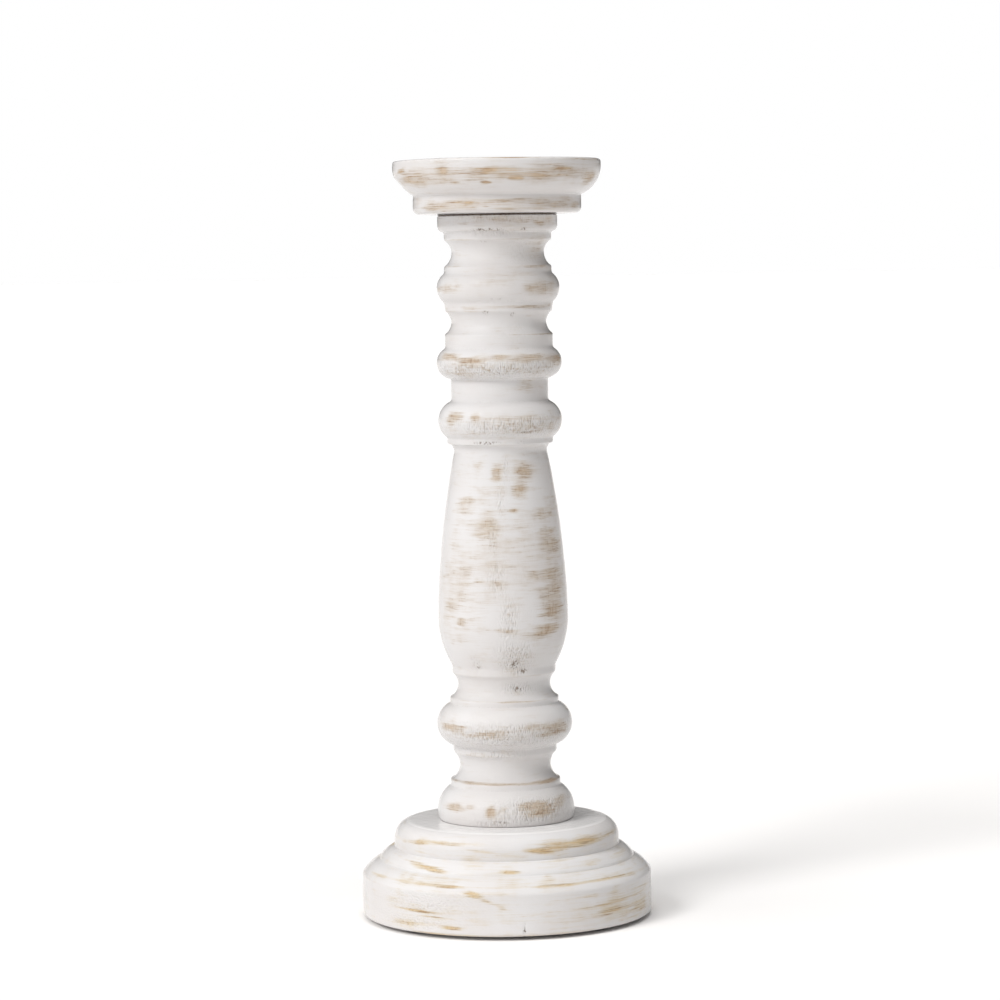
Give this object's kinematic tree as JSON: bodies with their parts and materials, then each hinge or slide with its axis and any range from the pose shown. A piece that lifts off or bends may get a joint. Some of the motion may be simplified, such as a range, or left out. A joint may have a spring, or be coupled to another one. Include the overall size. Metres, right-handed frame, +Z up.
{
  "type": "candlestick",
  "caption": "Turned wooden candlestick with a stepped round base, a baluster column with beads and a vase-shaped swell, and a flat round plate for a pillar candle.",
  "frame": {"origin": "on the axis, at the floor, at the underside of the felt pads", "axes": "+Z up along the turning axis; X and Y are equal in plan, and the felt pads lie on the diagonals"},
  "size_m": [0.116, 0.116, 0.3015],
  "materials": {
    "whitewashed_base": "chalky white wash over pale softwood, sanded through to tan wood along edges and in patches",
    "whitewashed_column": "chalky white wash over pale softwood, sanded through in bands round the beads and in streaks on the swell",
    "whitewashed_plate": "chalky white wash over pale softwood, with brown and tan streaks along the grain round the rim",
    "screw_steel": "zinc-plated, satin",
    "pad_felt": "pressed felt, matt"
  },
  "bodies": {
    "root": {"base": "whitewashed_base", "column": "whitewashed_column", "candle_plate": "whitewashed_plate", "base_screw": "screw_steel", "base_washer": "screw_steel", "plate_screw": "screw_steel", "plate_plug": "whitewashed_plate", "foot_pad_1": "pad_felt", "foot_pad_2": "pad_felt", "foot_pad_3": "pad_felt", "foot_pad_4": "pad_felt"}
  },
  "joints": []
}
